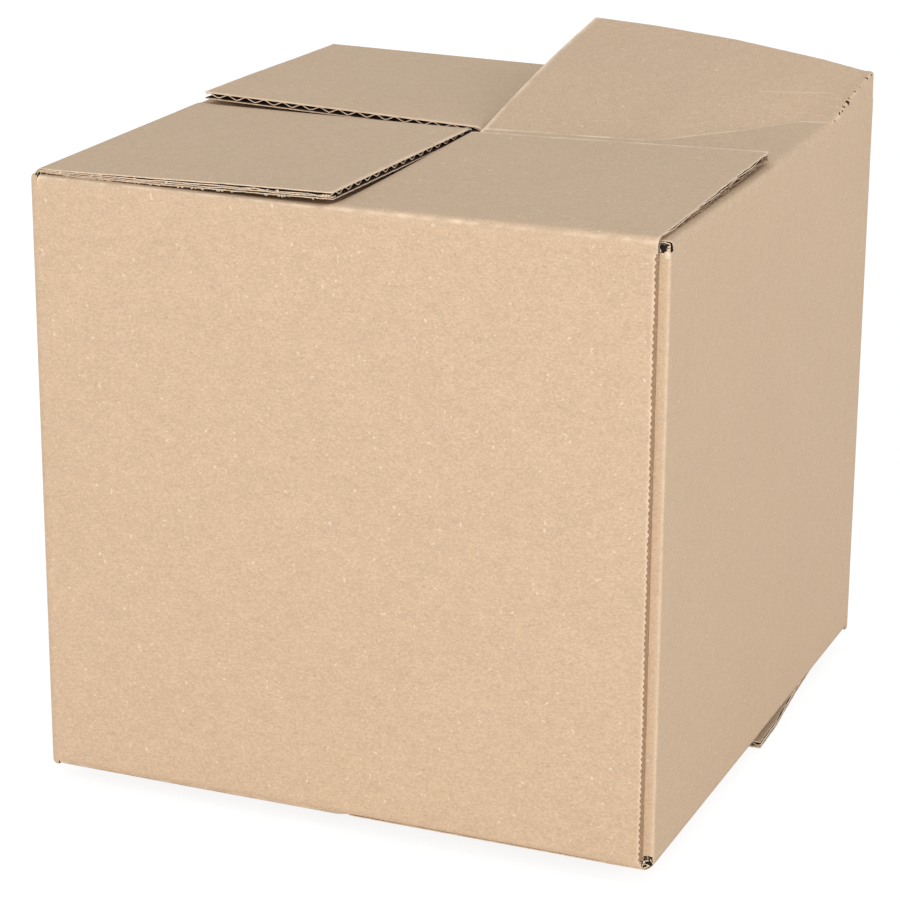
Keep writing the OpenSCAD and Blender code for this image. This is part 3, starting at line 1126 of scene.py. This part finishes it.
@dataclass
class Walls:
    """The four walls and the lap, one strip of board bent round the box.

    Args:
        carton: The box's sizes.
        board: The board's sizes.
        tooth: Pitch of the serrated cut, in millimetres.
        tooth_depth: Depth of its teeth.
        strip: Width of the fine strip beside it.
        lap_r: Outer radius of the corner where the lap is bent, which is sharper.
        slant: How far the front wall's cut slants from its outer to its inner face.
        top_r: Radius with which the corners' strips are bent in at the top and the foot.
        corner_past: How far the walls go past the folds at the plain corners.
        joint_past: How far the strip beside the joint goes past the top fold.
        joint_short: How far that strip ends short of the bottom fold.
        blend: Height over which the walls' ends are moved up or down.
        bend_steps: Number of facets of a bend between two walls.
    """

    carton: Carton
    board: Board
    tooth: float = 1.89
    tooth_depth: float = 0.6
    strip: float = 1.4
    lap_r: float = 1.2
    slant: float = 0.75
    top_r: float = 1.6
    corner_past: float = 3.2
    joint_past: float = 1.5
    joint_short: float = 1.6
    blend: float = 8.0
    bend_steps: int = 12

    def route(self) -> tuple[Array, Array, Array, Array]:
        """The strip seen from above, from the lap's end round to the front wall's cut edge.

        Returns:
            The way along the strip, its outer points, their outward normals and how far the
            strip ends short of the top and of the bottom fold there, or goes on past them.
        """
        c, r = self.carton, self.carton.bend_r
        w, d = c.half_w, c.half_d
        points: list[tuple[float, float, float, float]] = []

        def straight(x0: float, y0: float, x1: float, y1: float, nx: float, ny: float) -> None:
            """Adds a flat panel's points, closer near its ends.

            Args:
                x0: X of its first end.
                y0: Y of its first end.
                x1: X of its last end.
                y1: Y of its last end.
                nx: X of its outward normal.
                ny: Y of its outward normal.
            """
            length = math.hypot(x1 - x0, y1 - y0)
            ends, middle = np.array([0.4, 0.9, 1.6]), np.arange(3, length - 3, 3.3)
            for t in np.concatenate([[0], ends, middle, length - ends[::-1]]):
                f = t / length
                points.append((x0 + (x1 - x0) * f, y0 + (y1 - y0) * f, nx, ny))

        def corner(cx: float, cy: float, start: float) -> None:
            """Adds a rounded corner's points, clockwise seen from above.

            Args:
                cx: X of its centre.
                cy: Y of its centre.
                start: Direction of its first point, in degrees.
            """
            for i in range(self.bend_steps):
                a = math.radians(start - 90 * i / self.bend_steps)
                nx, ny = math.cos(a), math.sin(a)
                points.append((cx + r * nx, cy + r * ny, nx, ny))

        straight(w - c.joint_gap, -d, -w + r, -d, 0, -1)
        corner(-w + r, -d + r, 270)
        straight(-w, -d + r, -w, d - r, -1, 0)
        corner(-w + r, d - r, 180)
        straight(-w + r, d, w - r, d, 0, 1)
        corner(w - r, d - r, 90)
        straight(w, d - r, w, -d + self.board.thick + self.lap_r, 1, 0)
        r = self.lap_r
        corner(w - r, -d + self.board.thick + r, 0)
        straight(w - r, -d + self.board.thick, w - c.lap, -d + self.board.thick, 0, -1)
        table = np.array(points[::-1])
        step = np.hypot(np.diff(table[:, 0]), np.diff(table[:, 1]))
        way = np.concatenate([[0], np.cumsum(step)])
        x, y = table[:, 0], table[:, 1]
        at_corner = (np.abs(x) > w - c.inset) & (np.abs(y) > d - c.inset)
        torn = (x > 0) & (y < 0)
        gaps = [
            np.where(at_corner, np.where(torn, at_joint, -self.corner_past), 0.0)
            for at_joint in (-self.joint_past, self.joint_short)
        ]
        return way, table[:, :2], table[:, 2:4], np.stack(gaps, axis=1)

    def build(self, finishes: Finishes) -> bpy.types.Object:
        """Makes the walls from their two liners and the medium.

        Args:
            finishes: The materials.

        Returns:
            The walls as one piece.
        """
        c, b = self.carton, self.board
        way, xy, normal, gap = self.route()
        low, high = c.foot + b.fold_r, c.top - b.fold_r
        tall, ends = high - low, np.array([0, 0.4, 1, 2, 4])
        middle = np.linspace(self.blend, tall - self.blend, 40)
        levels = np.concatenate([ends, middle, tall - ends[::-1]])

        def sheet_at(depth: Callable[[Array, Array], Array], seed: int) -> Place:
            """Places a sheet at a depth under the outer faces.

            Args:
                depth: Gives the depth, in millimetres.
                seed: Seed of its uneven ends.

            Returns:
                What gives the sheet's points.
            """

            def place(a: Array, z: Array) -> Array:
                """Gives the sheet's points.

                Args:
                    a: Places along the strip.
                    z: Heights over the strip's foot.

                Returns:
                    The points, in millimetres.
                """
                x, y = np.interp(a, way, xy[:, 0]), np.interp(a, way, xy[:, 1])
                nx, ny = np.interp(a, way, normal[:, 0]), np.interp(a, way, normal[:, 1])
                size = np.hypot(nx, ny)
                up = low + z
                at_top = -np.clip(1 - (tall - z) / self.blend, 0, 1)
                at_foot = np.clip(1 - z / self.blend, 0, 1)
                for column, share in enumerate((at_top, at_foot)):
                    short = np.interp(a, way, gap[:, column])
                    uneven = short + ragged(a, seed + column, 0.8, 0.35)
                    up = up + share * np.where(np.abs(short) > 0.5, uneven, 0)
                over = np.clip(1 + np.maximum(up - c.top, c.foot - up) / self.top_r, 0, 0.96)
                inward = depth(a, z) + self.top_r * (1 - np.sqrt(1 - over**2))
                return np.stack([x - nx / size * inward, y - ny / size * inward, up], axis=1)

            return place

        def wear_and_highlight(a: Array, z: Array) -> Array:
            """How far the walls are lightened: painted highlight along the corner bends, and abrasion
            and painted highlight at the front wall's cut edge.
            """
            # Painted highlight along the rounded corner bends.
            bend = (2 * np.abs(np.interp(a, way, normal[:, 0] * normal[:, 1]))) ** 3 * 0.4
            return np.clip(bend + line_along(way[-1] - a, 0.8) * 0.6, 0, 1)

        def wave(a: Array, z: Array) -> Array:
            """Depth of the medium's outer face, in millimetres."""
            swing = (b.thick - 2 * b.liner - b.medium) / 2
            return (b.thick - b.medium) / 2 + swing * np.cos(2 * math.pi * (a / b.pitch + 0.3))

        outer_face = sheet_at(lambda a, z: np.zeros(len(a)), 31)

        def toothed(a: Array, z: Array) -> Array:
            """Gives the points of the outer liner's last strip, with teeth along its cut edge.

            Args:
                a: Places along the strip.
                z: Heights over the strip's foot.

            Returns:
                The points, in millimetres.
            """
            share = np.clip((a - way[-1] + self.strip) / self.strip, 0, 1)
            tooth = np.abs((z / self.tooth) % 1 - 0.5) * 2 + ragged(z, 61, 1.1, 0.22)
            points = outer_face(a, z)
            points[:, 0] += share * ((tooth - 0.5) * self.tooth_depth + ragged(z, 62, 14, 0.1))
            points[:, 1] += share * 0.2 * np.clip(ragged(z, 63, 6, 1.0), 0, 1)
            return points

        liner, medium = finishes.liner(Grain.WALL), finishes.of(FLUTE_SHADE)
        cut, brown = finishes.of(CUT_EDGE), finishes.of(CUT_SHADE)
        last = way[-1] - self.strip
        outer = Paper(
            "walls_outer", np.append(way[way < last], last), levels, outer_face,
            b.liner, liner, cut, wear_and_highlight,
        ).build()
        edge = Paper(
            "walls_edge", last + self.strip * np.array([0, 0.4, 0.7, 0.85, 1.0]),
            np.linspace(0, tall, round(tall / self.tooth * 6)), toothed,
            b.liner, liner, cut, wear_and_highlight,
        ).build()
        inner = Paper(
            "walls_inner", way, levels[::2],
            sheet_at(lambda a, z: np.full(len(a), b.thick - b.liner), 32), b.liner, liner, cut,
        ).build()
        fine = np.arange(0, way[-1], b.pitch / 8)
        # The walls' waved paper is painted near black with shade.
        waves = Paper(
            "walls_wave", fine, levels[::4], sheet_at(wave, 33), b.medium, medium, medium
        ).build()

        def cut_face(a: Array, z: Array) -> Array:
            """The points of the front wall's cut, which shows beside the teeth."""
            x = c.half_w - c.joint_gap - 0.3 + self.slant * a / b.thick + ragged(z, 65, 2.5, 0.06)
            return np.stack([x, a - c.half_d, low + z], axis=1)

        # The front wall's cut is painted darker brown with shade.
        face = Paper(
            "walls_cut", np.linspace(b.liner, b.thick - 0.05, 4), np.linspace(0, tall, 120),
            cut_face, 0.2, brown, brown,
        ).build()
        return dress(join([outer, edge, inner, waves, face, *self.torn_joint(finishes)], "walls"))

    def torn_joint(self, finishes: Finishes) -> list[bpy.types.Object]:
        """Makes the torn paper in the slots beside the joint, and near black blobs of painted shade in
        those slots and in the hole between the flaps.

        Args:
            finishes: The materials.

        Returns:
            The pale bits and the dark ones of painted shade.
        """
        c, seed = self.carton, 900
        x, y, top, foot = c.half_w, -c.half_d, c.top, c.foot
        # Each bit: its middle and its half sizes.
        pale = np.array([
            (x - 1.15, y + 2.9, top - 4.5, 1.0, 0.5, 1.25),
            (x - 2.4, y + 2.5, top - 3.9, 0.45, 0.3, 0.4),
            (x - 3.1, y + 2.5, top - 2.9, 0.3, 0.3, 0.6),
            (x - 0.9, y + 3.0, top - 1.9, 0.6, 0.3, 0.25),
            (x - 1.9, y + 2.6, foot + 3.6, 0.7, 0.3, 0.22),
            (x - 2.9, y + 2.5, foot + 3.0, 0.4, 0.3, 0.5),
            (x - 0.75, y + 3.0, foot + 3.0, 0.2, 0.3, 1.2),
            (x - 1.7, y + 2.5, foot + 2.2, 0.7, 0.25, 0.2),
        ])
        # Painted shade: near black blobs standing in for the shadow in the slots and in the hole where
        # the flaps meet.
        dark = np.array([
            (-0.6, -1.9, top + 0.05, 1.2, 1.3, 0.5),
            (x - 0.14, y + 5.4, top - 4.4, 0.14, 0.16, 0.6),
            (x - 2.15, y + 2.7, top - 2.4, 1.3, 0.35, 1.3),
            (x - 1.3, y + 3.8, foot + 4.6, 0.8, 0.5, 0.35),
            (x - 1.4, y + 2.9, foot + 2.6, 1.2, 0.35, 1.1),
        ])
        return [
            Crumbs("torn", pale[:, :3], pale[:, 3:], finishes.of(TORN_PAPER), seed).build(),
            Crumbs("dark", dark[:, :3], dark[:, 3:], finishes.of(DEEP_SHADE), seed).build(),
        ]


@dataclass(frozen=True)
class Lamp:
    """A soft square light that faces the box.

    Args:
        name: Its name.
        spot: Its place, in metres.
        watts: Its power.
        size: The length of its sides, in metres.
        colour: Its linear colour.
        aim: The point that it faces, in metres.
    """

    name: str
    spot: tuple[float, float, float]
    watts: float
    size: float
    colour: tuple[float, float, float]
    aim: tuple[float, float, float] = (0, 0, 0.1)

    def build(self) -> None:
        """Adds the light."""
        data = bpy.data.lights.new(self.name, "AREA")
        data.energy = self.watts
        data.size = self.size
        data.color = self.colour
        lamp = bpy.data.objects.new(self.name, data)
        way = Vector(self.aim) - Vector(self.spot)
        turn = way.to_track_quat("-Z", "Y").to_matrix().to_4x4()
        lamp.matrix_world = Matrix.Translation(self.spot) @ turn
        bpy.context.scene.collection.objects.link(lamp)


LAMPS = (
    Lamp("key", (0.5, -2.6, 0.68), 32.0, 1.3, (1.0, 0.92, 0.83)),
    Lamp("side", (2.4, -0.2, 0.8), 10.5, 1.2, (1.0, 0.98, 0.97)),
)


@dataclass(frozen=True)
class Studio:
    """The camera, the floor and the even light.

    Args:
        eye: The camera's place, in metres.
        yaw: Its turn to the left, in degrees.
        pitch: How far it looks down, in degrees.
        roll: Its roll, in degrees.
        lens: Its focal length, in millimetres.
        sensor: Width of its sensor, in millimetres.
        sky: Strength of the even light.
        sky_tint: The even light's linear colour.
        floor_r: Radius of the floor, in metres.
        floor_tint: The floor's linear colour.
        floor_glow: Strength of the white that the camera sees on the floor.
        glow_share: Share of that white, next to the floor's own light and shadow.
    """

    eye: tuple[float, float, float] = (0.3622, -0.891, 0.4135)
    yaw: float = 22.57
    pitch: float = 18.62
    roll: float = 0.33
    lens: float = 125.0
    sensor: float = 36.0
    sky: float = 0.79
    sky_tint: tuple[float, float, float] = (0.93, 0.96, 1)
    floor_r: float = 3.0
    floor_tint: tuple[float, float, float] = (0.86, 0.86, 0.86)
    floor_glow: float = 1.16
    glow_share: float = 0.74

    def camera(self) -> None:
        """Adds the camera at the photograph's viewing angle."""
        data = bpy.data.cameras.new("camera")
        data.lens = self.lens
        data.sensor_width = self.sensor
        data.clip_start = 0.05
        eye = bpy.data.objects.new("camera", data)
        turn = Matrix.Rotation(math.radians(self.yaw), 4, "Z")
        tilt = Matrix.Rotation(math.radians(90 - self.pitch), 4, "X")
        roll = Matrix.Rotation(math.radians(self.roll), 4, "Z")
        eye.matrix_world = Matrix.Translation(self.eye) @ turn @ tilt @ roll
        bpy.context.scene.collection.objects.link(eye)
        bpy.context.scene.camera = eye

    def floor(self) -> None:
        """Adds the plain pale floor, white where the camera sees it, with the box's shadow."""
        deselect()
        bpy.ops.mesh.primitive_circle_add(
            vertices=96, radius=self.floor_r, fill_type="NGON", location=(0, 0, -UNDER_FLOOR)
        )
        ground = bpy.context.object
        ground.name = "floor"
        material = bpy.data.materials.new("floor")
        material.use_nodes = True
        tree = material.node_tree
        shader = tree.nodes["Principled BSDF"]
        shader.inputs["Base Color"].default_value = (*self.floor_tint, 1)
        shader.inputs["Roughness"].default_value = 0.9
        shader.inputs["Specular IOR Level"].default_value = 0.1
        path = tree.nodes.new("ShaderNodeLightPath")
        glow = node(tree, "ShaderNodeEmission", {}, {"Color": WHITE, "Strength": self.floor_glow})
        share = Signal(tree, path.outputs["Is Camera Ray"]) * self.glow_share
        lit = Signal(tree, shader.outputs[0])
        both = node(tree, "ShaderNodeMixShader", {}, {0: share, 1: lit, 2: glow})
        tree.links.new(both.socket, tree.nodes["Material Output"].inputs["Surface"])
        ground.data.materials.append(material)

    def world(self) -> None:
        """Lights the box evenly and shows the camera a white background."""
        sky = bpy.data.worlds.new("studio")
        sky.use_nodes = True
        bpy.context.scene.world = sky
        tree = sky.node_tree
        tree.nodes.clear()
        path = tree.nodes.new("ShaderNodeLightPath")
        seen = Signal(tree, path.outputs["Is Camera Ray"])
        seen = seen + Signal(tree, path.outputs["Is Glossy Ray"])
        seen = seen + Signal(tree, path.outputs["Is Transmission Ray"])
        tint = (*self.sky_tint, 1)
        even = node(tree, "ShaderNodeBackground", {}, {"Color": tint, "Strength": self.sky})
        white = node(tree, "ShaderNodeBackground", {}, {"Color": WHITE, "Strength": 1.0})
        both = node(tree, "ShaderNodeMixShader", {}, {0: seen, 1: even, 2: white})
        out = tree.nodes.new("ShaderNodeOutputWorld")
        tree.links.new(both.socket, out.inputs["Surface"])

    def build(self) -> None:
        """Sets the whole studio up."""
        self.camera()
        self.floor()
        self.world()
        for lamp in LAMPS:
            lamp.build()
        bpy.context.scene.view_settings.view_transform = "Standard"


def flaps(carton: Carton, board: Board) -> list[Flap]:
    """The eight flaps of the two closures, in the order in which each lies over the next.

    Args:
        carton: The box's sizes.
        board: The board's sizes.

    Returns:
        The flaps, ready to build.
    """
    w, d = carton.half_w, carton.half_d
    end, side = d - carton.end_gap, w - carton.side_gap
    same = {"board": board, "carton": carton}
    foot = {**same, "at_top": False, "lift": carton.foot}
    return [
        Flap("top_flap_front", 0, w, d, end, 3.4, dip=0.8, seed=100, frayed=True, side_shaded=True, **same),
        BentFlap("top_flap_right", 1, d, w, side, 0.6, seed=200, cut_back=2.4, **same),
        Flap("top_flap_back", 2, w, d, end, 3.4, dip=1.6, seed=300, **same),
        Flap("top_flap_left", 3, d, w, side, 3.3, skew=3.0, seed=400, frayed=True, **same),
        Flap("bottom_flap_front", 0, w, d, end, dip=1.6, seed=500, **foot),
        Flap("bottom_flap_left", 1, d, w, side, seed=600, **foot),
        Flap("bottom_flap_back", 2, w, d, end, dip=1.6, askew=2.7, seed=700, **foot),
        Flap("bottom_flap_right", 3, d, w, side, seed=800, **foot),
    ]


def main() -> None:
    """Builds the box and the studio."""
    logging.basicConfig(level=logging.INFO, format="%(name)s: %(message)s")
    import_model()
    _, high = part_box(NODE)
    carton = Carton(half_w=high[0] / MM, half_d=high[1] / MM)
    board = Board()
    finishes = Finishes()
    Studio().build()
    Walls(carton, board).build(finishes)
    for flap in flaps(carton, board):
        flap.build(finishes)


if __name__ == "__main__":
    main()
